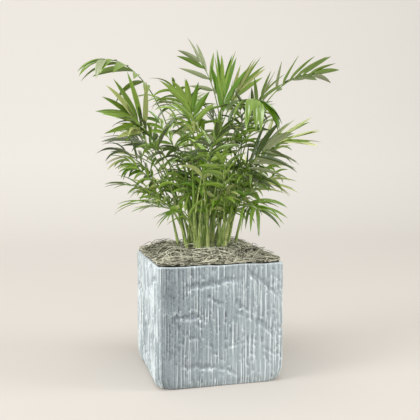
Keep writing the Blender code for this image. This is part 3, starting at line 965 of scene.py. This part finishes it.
def scoops(rng):
    """Every scoop as (distance round, height, half length, half height, slant, depth)."""
    run, arc, _ = pot_girth()
    found = [(run / 2 + across, *rest) for across, *rest in FRONT_SCOOPS]
    for side in range(1, 4):
        for _ in range(SCOOPS_ELSEWHERE):
            found.append(
                (
                    side * (run + arc) + rng.uniform(0.0, run),
                    rng.uniform(*SCOOP_MIDDLE),
                    rng.uniform(*SCOOP_HALF_LENGTH),
                    rng.uniform(*SCOOP_HALF_HEIGHT),
                    rng.uniform(*SCOOP_SLANT),
                    rng.uniform(*SCOOP_DEPTHS),
                )
            )
    return found


def split_lines(around, height, seed):
    """Thin upright crests that wander and break off, and the shade to the right of each. Both shape the
    relief; the crests are also painted highlights and the shade is painted shade.
    """
    girth = pot_girth()[2]
    cells = round(girth / LINE_PITCH)
    place = around / girth * cells
    bright = np.zeros_like(around)
    shade = np.zeros_like(around)
    for beside in (-1, 0, 1):
        cell = np.floor(place) + beside
        own = cell % cells
        wander = noise(own + 0.5, height / LINE_WANDER_HEIGHT, seed + 1, cells) - 0.5
        middle = cell + hashed(own, own * 0, seed) + LINE_WANDER * wander
        away = (place - middle) * LINE_PITCH
        strength = smooth(0.30, 0.70, noise(own + 0.5, height / LINE_BREAK_HEIGHT, seed + 2, cells))
        bright = np.maximum(bright, strength * np.exp(-((away / LINE_WIDTH) ** 2)))
        shade = np.maximum(shade, strength * np.exp(-(((away - 2 * LINE_WIDTH) / (1.4 * LINE_WIDTH)) ** 2)))
    return bright, shade


def chips(around, height):
    """Small chipped hollows, slanting a little."""
    girth = pot_girth()[2]
    cells = round(girth / CHIP_WIDTH)
    coarse = noise(around / girth * cells, (height + CHIP_SLANT * around) / CHIP_HEIGHT, 21, cells)
    cells = round(girth / PATCH_WIDTH)
    patches = noise(around / girth * cells, height / PATCH_HEIGHT, 22, cells)
    return smooth(0.42, 0.80, coarse) * smooth(0.20, 0.70, patches)


def ribs(around, height):
    """How strongly the ribs show, how near to its rib's crest each point is, and a ragged offset."""
    run, _, girth = pot_girth()
    count = round(girth / RIB_PITCH)
    cell = around / girth * count
    wander = noise(cell / 3, height / RIB_WANDER_HEIGHT, 1, round(count / 3)) - 0.5
    phase = cell + RIB_WANDER * wander
    rib = np.floor(phase)
    inside = phase - rib
    crest = mix(RIB_CREST, hashed(rib % count, rib * 0, 3))
    rise = np.where(inside < crest, inside / crest, (1 - inside) / (1 - crest))
    strength = mix(RIB_STRENGTH, noise(rib % count + 0.5, height / RIB_STRENGTH_HEIGHT, 4, count))
    across = np.clip(around / run, 0, 1)
    ribbing = strength * mix(RIB_SHOW, smooth(0.55, 0.85, across))
    by_rib = (hashed(rib % count, rib * 0, 6) - 0.5) * RAGGED_BY_RIB
    fine = (noise(cell * 2.5, height / RAGGED_HEIGHT, 9, count * 3) - 0.5) * RAGGED_FINE
    return ribbing, rise, by_rib + fine


def scooped(around, height, ragged, rng):
    """How deeply scoops cut each point, and how near it is to the ledge below one."""
    girth = pot_girth()[2]
    cut = np.zeros_like(around)
    ledge = np.zeros_like(around)
    for centre, low, length, tall, slant, deep in scoops(rng):
        aside = (around - centre + girth / 2) % girth - girth / 2
        up = height + ragged - low - slant * aside
        gone = 1 - smooth(0.5, 1.2, np.sqrt((aside / length) ** 2 + (up / tall) ** 2))
        cut = np.maximum(cut, gone * deep / SCOOP_DEPTH)
        edge = np.exp(-(((up + tall) / LEDGE_HEIGHT) ** 2)) * smooth(length, length * 0.6, np.abs(aside))
        ledge = np.maximum(ledge, edge * min(1.0, deep / SCOOP_DEPTH + 0.2))
    return cut, ledge


def bloom_on(around, height):
    """How dusty each point is, in clouds, but on the front face how pale it grows towards its right end and
    its foot.
    """
    run, _, girth = pot_girth()
    across = np.clip(around / run, 0, 1)
    clouds = BLOOM * noise(around / girth * BLOOM_CELLS, height / BLOOM_HEIGHT, 12, BLOOM_CELLS)
    facing = (around < run) * smooth(0.0, 0.06, across)
    front = 0.55 * smooth(0.45, 0.95, across) + 0.40 * smooth(0.09, 0.01, height)
    return clouds * (1 - facing) + facing * front


def split_face(around, height, rng):
    """How deep the stone lies at each point, how much painted highlight and painted shade it has there, and
    its bloom.
    """
    run, _, girth = pot_girth()
    ribbing, rise, ragged = ribs(around, height)
    bright, shade = split_lines(around, height, 31)
    chipped = chips(around, height)
    # A painted highlight along the upper edge of each chip
    painted_chip_highlight = np.clip(chips(around, height + CHIP_LIP) - chipped, 0, 1)
    depth = RESTING_DEPTH - 0.50 * ribbing * rise**1.5 - 0.35 * bright + 0.20 * shade + 0.35 * chipped
    # A painted highlight on rib crests, thin crests and the upper edges of chips
    crest = 0.95 * bright + 0.50 * ribbing * smooth(0.6, 1.0, rise) + 0.60 * painted_chip_highlight
    # Painted shade in the grooves, in the chips and to the right of each thin crest
    hollow = 0.60 * shade + 0.34 * chipped + 0.50 * ribbing * smooth(0.55, 0.05, rise)
    cut, ledge = scooped(around, height, ragged, rng)
    front = around < run
    across = np.clip(around / run, 0, 1)
    worn = smooth(*WORN_END, around) * front
    # The painted highlight fades where the face is worn and in the scoops, and grows towards the front
    # face's right end
    crest = crest * (1 - 0.6 * worn) * (0.80 + 0.4 * across) * (1 - 0.5 * cut)
    # A painted highlight on the ledge below each scoop
    crest = crest + 0.60 * ledge * (0.4 + chipped)
    # Painted shade in the scoops and towards the front face's left end
    hollow = hollow * (1 - 0.4 * cut) + 0.26 * cut + 0.40 * smooth(*PAINTED_SHADE_END, around) * front
    depth = depth * (1 - 0.5 * worn) * (1 - 0.5 * cut) + SCOOP_DEPTH / RELIEF * cut - 0.25 * ledge
    bow = noise(around / girth * BOW_CELLS, height / BOW_HEIGHT + 0.4, 8, BOW_CELLS)
    inset = np.clip(depth, 0, DEEPEST) * RELIEF + bow * BOW - PROUD
    return inset, np.clip(crest, 0, 1), np.clip(hollow, 0, 1), np.clip(bloom_on(around, height), 0, 1)


def drawn_in(x, y, around, height):
    """The same points with the pot's bottom corners drawn in along their diagonals."""
    run, arc, _ = pot_girth()
    within = around % (run + arc)
    from_corner = np.minimum(np.abs(within - run - arc / 2), within + arc / 2)
    low = np.clip(1 - height / FOOT_CORNER_HEIGHT, 0, 1)
    pull = smooth(FOOT_CORNER_REACH, 0, from_corner) * (1 - np.sqrt(1 - low**2)) * FOOT_CORNER_INSET
    return x - np.sign(x) * pull * math.sqrt(0.5), y - np.sign(y) * pull * math.sqrt(0.5)


def make_pot():
    """The planter: its split faces outside, a worn rim with a painted highlight along its edge, and plain
    walls and floor inside.
    """
    girth = pot_girth()[2]
    columns = POT_COLUMNS
    places = np.arange(columns) / columns * girth
    heights = np.linspace(0, POT_HEIGHT, POT_ROWS + 1)
    around, height = np.meshgrid(places, heights)
    depth, crest, hollow, bloom = split_face(around, height, random.Random(SEED + 7))
    foot = np.clip(1 - height / FOOT_HEIGHT, 0, 1)
    foot_inset = FOOT_INSET * (1 - np.sqrt(np.clip(1 - foot**2, 0, 1)))
    top = np.clip(1 - (POT_HEIGHT - height) / RIM_ROUND, 0, 1)
    rim_inset = RIM_ROUND * (1 - np.sqrt(np.clip(1 - top**2, 0, 1)))
    at_rim = smooth(POT_HEIGHT - RELIEF_FADE, POT_HEIGHT, height)
    fade = smooth(0, RELIEF_FADE, height) * mix((1, RIM_RELIEF), at_rim)
    x, y = round_the_pot(around, foot_inset + depth * fade + rim_inset)
    x, y = drawn_in(x, y, around, height)
    wave = RIM_WAVE * noise(around / girth * RIM_CELLS, around * 0, 13, RIM_CELLS)
    lowered = height - wave * smooth(POT_HEIGHT - RIM_FADE, POT_HEIGHT, height)
    outer = np.stack([x, y, lowered], -1).reshape(-1, 3)
    # A painted highlight along the rim's outer edge
    edge = smooth(POT_HEIGHT - 0.0022, POT_HEIGHT - 0.0006, height)
    crest = np.maximum(crest, 0.45 * edge)
    inner = []
    for inset, z in (
        (POT_WALL - INNER_ROUND, POT_HEIGHT),
        (POT_WALL, POT_HEIGHT - INNER_ROUND),
        (POT_WALL, POT_FLOOR),
    ):
        x, y = round_the_pot(places, inset)
        inner.append(np.stack([x, y, z - wave[0] * (z > POT_FLOOR)], -1))
    verts = np.concatenate([outer, *inner])
    rings = len(heights) + len(inner)
    faces = []
    for ring in range(rings - 1):
        a, b = ring * columns, (ring + 1) * columns
        for i in range(columns):
            j = (i + 1) % columns
            faces.append((a + i, a + j, b + j, b + i))
    faces.append(tuple(reversed(range(columns))))
    faces.append(tuple(range((rings - 1) * columns, rings * columns)))
    made = piece("pot_of_split_stone", verts.tolist(), faces, stone_look(), ["pot"])
    rest = np.zeros(len(inner) * columns)
    # The rim's top and the walls inside carry half the painted highlight
    write(made, "crest", np.concatenate([crest.ravel(), rest + 0.5]))
    write(made, "hollow", np.concatenate([hollow.ravel(), rest]))
    write(made, "bloom", np.concatenate([bloom.ravel(), rest]))


# The moss mat

# The mat starts to roll over at this share of the way to its edge
MOSS_REACH = 0.0885
MOSS_CORNER = 0.012
ROLLS_OVER_FROM = 0.62

UNDERLAY_STEPS = 90
UNDERLAY_INSET = 0.0015
UNDERLAY_DEPTH = 0.0040
UNDERLAY_LUMPS = 0.0010
UNDERLAY_EDGE = 0.0005
CORNER_SHRINK = 0.75

# Strands: thickness and length in metres, and how much they bend in radians to the metre
MOSS_STRANDS = 3000
MOSS_STEPS = 12
MOSS_CORNERS = 3
MOSS_RADIUS = (0.00040, 0.00085)
MOSS_LENGTH = (0.020, 0.065)
STRAND_CURL = 60
STRAND_WAVE = 35
STRAND_LIFT = (-0.0028, 0.0004)
STRAND_HUMP = 0.0045
STRAND_RIPPLE = 0.0005
STRAND_FLOOR = 0.0006
START_SHRINK = 0.85
TURN_BACK = 0.6 * math.pi
BACK_IN = 0.0002

# Every fourth strand lies in the fringe round the edge, and one in 24 stands up loosely
FRINGE_EVERY = 4
FRINGE_BAND = (0.0005, 0.006)
FRINGE_END = 0.004
FRINGE_HANG = 0.002
LOOSE_EVERY = 24
LOOSE_FIRST = 5
LOOSE_RISE = 0.010


def mat_height(x, y):
    """The moss's top over the pot, rolling over at its edges."""
    out = max(abs(x), abs(y)) / MOSS_REACH
    fall = min(1.0, max(0.0, (out - ROLLS_OVER_FROM) / (1 - ROLLS_OVER_FROM)))
    return POT_HEIGHT + mix((MOSS_CROWN_RISE, MOSS_EDGE_THIN), fall * fall * (3 - 2 * fall))


def off_the_mat(x, y, margin=0.0):
    """How far past the mat's rounded square a place lies, or 0."""
    straight = MOSS_REACH - margin - MOSS_CORNER
    beyond = math.hypot(max(0.0, abs(x) - straight), max(0.0, abs(y) - straight))
    return max(0.0, beyond - MOSS_CORNER)


def lumps(x, y):
    """Uneven ground, from about -1 to 1."""
    return 0.5 * (math.sin(x * 210 + 1.3) * math.sin(y * 190 + 0.4) + math.sin(x * 95 + y * 120))


def make_underlay():
    """The dark crumbly mound under the strands, closed down to the rim at its edge."""
    steps = UNDERLAY_STEPS
    reach = MOSS_REACH - UNDERLAY_INSET
    verts, faces = [], []
    for i in range(steps + 1):
        for j in range(steps + 1):
            x = mix((-reach, reach), i / steps)
            y = mix((-reach, reach), j / steps)
            over = off_the_mat(x, y, UNDERLAY_INSET)
            if over:
                shrink = 1 - over * CORNER_SHRINK / math.hypot(x, y)
                x, y = x * shrink, y * shrink
            z = mat_height(x, y) - UNDERLAY_DEPTH + UNDERLAY_LUMPS * lumps(x, y)
            if min(i, j, steps - i, steps - j) == 0:
                z = POT_HEIGHT + UNDERLAY_EDGE
            verts.append((x, y, z))
    for i in range(steps):
        for j in range(steps):
            a = i * (steps + 1) + j
            faces.append((a, a + steps + 1, a + steps + 2, a + 1))
    piece("moss_underlay", verts, faces, earth_look(), ["moss", "soil"])


def strand(rng, start, hang, loose):
    """A curled strand's points over the mat, lower by this much, and humped high if it is loose."""
    x, y = start
    length = mix(MOSS_LENGTH, rng.random() ** 1.5)
    course = rng.uniform(0, math.tau)
    curl = rng.uniform(-1, 1) * STRAND_CURL
    wave = rng.uniform(0, math.tau)
    lift = rng.uniform(*STRAND_LIFT)
    if loose:
        hump = LOOSE_RISE * rng.uniform(0.5, 1.0)
    else:
        hump = rng.uniform(0.0, STRAND_HUMP) * (rng.random() < 0.5)
    step = length / MOSS_STEPS
    points = []
    for k in range(MOSS_STEPS + 1):
        share = k / MOSS_STEPS
        rise = lift + hump * math.sin(math.pi * share) + STRAND_RIPPLE * math.sin(wave + 9 * share)
        z = max(POT_HEIGHT + STRAND_FLOOR, mat_height(x, y) + rise - hang)
        points.append(Vector((x, y, z)))
        course += (curl + STRAND_WAVE * math.sin(wave + 7 * share)) * step
        ahead = (x + math.cos(course) * step, y + math.sin(course) * step)
        if off_the_mat(*ahead):
            course += TURN_BACK
            ahead = (x + math.cos(course) * step, y + math.sin(course) * step)
            over = off_the_mat(*ahead) + BACK_IN
            shrink = 1 - over / math.hypot(*ahead)
            ahead = (ahead[0] * shrink, ahead[1] * shrink)
        x, y = ahead
    return points


def strand_start(rng, fringe):
    """Where a strand begins: anywhere on the mat, or near its edge for one of the fringe."""
    if fringe:
        place = rng.uniform(-1, 1) * (MOSS_REACH - FRINGE_END)
        rim = MOSS_REACH - rng.uniform(*FRINGE_BAND)
        start = rng.choice(((place, rim), (place, -rim), (rim, place), (-rim, place)))
    else:
        start = (rng.uniform(-1, 1) * MOSS_REACH, rng.uniform(-1, 1) * MOSS_REACH)
    if off_the_mat(*start):
        start = (start[0] * START_SHRINK, start[1] * START_SHRINK)
    return start


def make_moss():
    """Curled strands of three tones over the underlay, with a fringe of them round its edge."""
    make_underlay()
    rng = random.Random(SEED + 8)
    heaps = [Heap() for _ in MOSS_KINDS]
    weights = [weight for _, _, weight in MOSS_KINDS]
    for number in range(MOSS_STRANDS):
        fringe = number % FRINGE_EVERY == 0
        loose = number % LOOSE_EVERY == LOOSE_FIRST
        start = strand_start(rng, fringe)
        points = strand(rng, start, rng.uniform(0, FRINGE_HANG) if fringe else 0.0, loose)
        radius = MOSS_RADIUS[0] if loose else mix(MOSS_RADIUS, rng.random())
        directions, sides, radii = [], [], []
        for k in range(MOSS_STEPS + 1):
            direction = (points[min(k + 1, MOSS_STEPS)] - points[max(k - 1, 0)]).normalized()
            across = direction.cross(UP)
            directions.append(direction)
            sides.append(across.normalized() if across.length > 0.1 else Vector((1, 0, 0)))
            radii.append(radius * (1 - 0.5 * abs(2 * k / MOSS_STEPS - 1) ** 3))
        heap = heaps[rng.choices(range(len(MOSS_KINDS)), weights)[0]]
        heap.add(*tube(points, directions, sides, radii, MOSS_CORNERS))
    for (name, colour, _), heap in zip(MOSS_KINDS, heaps):
        piece("moss_strands_" + name, heap.verts, heap.faces, strand_look(name, colour), ["moss"])


# Floor, light and camera

FLOOR_HALF_WIDTH = 6.0
FLOOR_FRONT = -4.0
FLOOR_BACK = 1.6
BACKDROP_BEND = 1.2
BACKDROP_STEPS = 12
BACKDROP_HEIGHT = 5.0
PAPER = (0.44, 0.42, 0.39)
PAPER_GLOW = ((0.125, 0.110, 0.093), (0.440, 0.424, 0.398))
GLOW_FROM = 0.2
GLOW_TO = 2.4

AIR = (1.0, 0.985, 0.96)
AIR_STRENGTH = 0.44

# Square soft lights: name, place, what each is turned to, size and watts
LAMPS = [
    ("left_light", (-1.9, -0.55, 1.1), (0, 0, 0.2), 1.0, 27),
    ("right_light", (1.7, -0.75, 0.9), (0, 0, 0.15), 0.8, 20),
    ("front_light", (-0.7, -2.1, 0.75), (0, 0, 0.32), 0.9, 9),
    ("top_light", (-0.3, -0.5, 2.4), (0, 0, 0.25), 1.2, 38),
]

CAMERA_PLACE = (-0.2478, -0.9574, 0.3136)
CAMERA_YAW = math.radians(14.88)
CAMERA_PITCH = math.radians(4.33)
CAMERA_LENS = 57.06
CAMERA_SENSOR = 36


def paper_look():
    """Pale paper that glows a little more the further back it lies."""
    look = Look("studio_paper")
    place = look.add("ShaderNodeTexCoord", None, None, 3)
    back = look.add("ShaderNodeSeparateXYZ", None, {0: place}, 1)
    glow = look.colours(look.range(back, GLOW_FROM, GLOW_TO), *PAPER_GLOW)
    sockets = {"Base Color": PAPER, "Roughness": 0.9, "Emission Color": glow, "Emission Strength": 1.0}
    return look.finish(sockets)


def make_floor():
    """A pale floor that curves up into a backdrop far behind."""
    profile = [(FLOOR_FRONT, 0.0), (FLOOR_BACK, 0.0)]
    for k in range(1, BACKDROP_STEPS + 1):
        turn = math.pi / 2 * k / BACKDROP_STEPS
        rise = BACKDROP_BEND - BACKDROP_BEND * math.cos(turn)
        profile.append((FLOOR_BACK + BACKDROP_BEND * math.sin(turn), rise))
    profile.append((FLOOR_BACK + BACKDROP_BEND, BACKDROP_HEIGHT))
    verts = [(x, y, z) for y, z in profile for x in (-FLOOR_HALF_WIDTH, FLOOR_HALF_WIDTH)]
    faces = [(2 * k, 2 * k + 1, 2 * k + 3, 2 * k + 2) for k in range(len(profile) - 1)]
    mesh = bpy.data.meshes.new("studio_floor")
    mesh.from_pydata(verts, [], faces)
    mesh.shade_smooth()
    mesh.materials.append(paper_look())
    floor = bpy.data.objects.new("studio_floor", mesh)
    bpy.context.scene.collection.objects.link(floor)


def make_lamp(name, place, target, size, watts):
    """A square soft light, turned to its target."""
    light = bpy.data.lights.new(name, "AREA")
    light.shape = "SQUARE"
    light.size = size
    light.energy = watts
    made = bpy.data.objects.new(name, light)
    made.location = place
    made.rotation_euler = (Vector(place) - Vector(target)).to_track_quat("Z", "Y").to_euler()
    bpy.context.scene.collection.objects.link(made)


def make_camera():
    """A camera that stands where the photograph was taken from."""
    camera = bpy.data.cameras.new("camera")
    camera.lens = CAMERA_LENS
    camera.sensor_width = CAMERA_SENSOR
    made = bpy.data.objects.new("camera", camera)
    made.location = CAMERA_PLACE
    forward = heading(math.pi / 2 - CAMERA_YAW, math.pi / 2 + CAMERA_PITCH)
    made.rotation_euler = forward.to_track_quat("-Z", "Y").to_euler()
    bpy.context.scene.collection.objects.link(made)
    bpy.context.scene.camera = made


def make_studio():
    """Floor, soft air, four lights and the camera."""
    make_floor()
    world = bpy.data.worlds.new("studio_air")
    bpy.context.scene.world = world
    world.use_nodes = True
    air = world.node_tree.nodes["Background"]
    air.inputs["Color"].default_value = (*AIR, 1)
    air.inputs["Strength"].default_value = AIR_STRENGTH
    for lamp in LAMPS:
        make_lamp(*lamp)
    make_camera()
    bpy.context.scene.view_settings.view_transform = "Standard"


stems = canes(random.Random(SEED))
grow_canes(stems)
grow_fronds(stems)
make_pot()
make_moss()
make_studio()

bpy.context.view_layer.update()
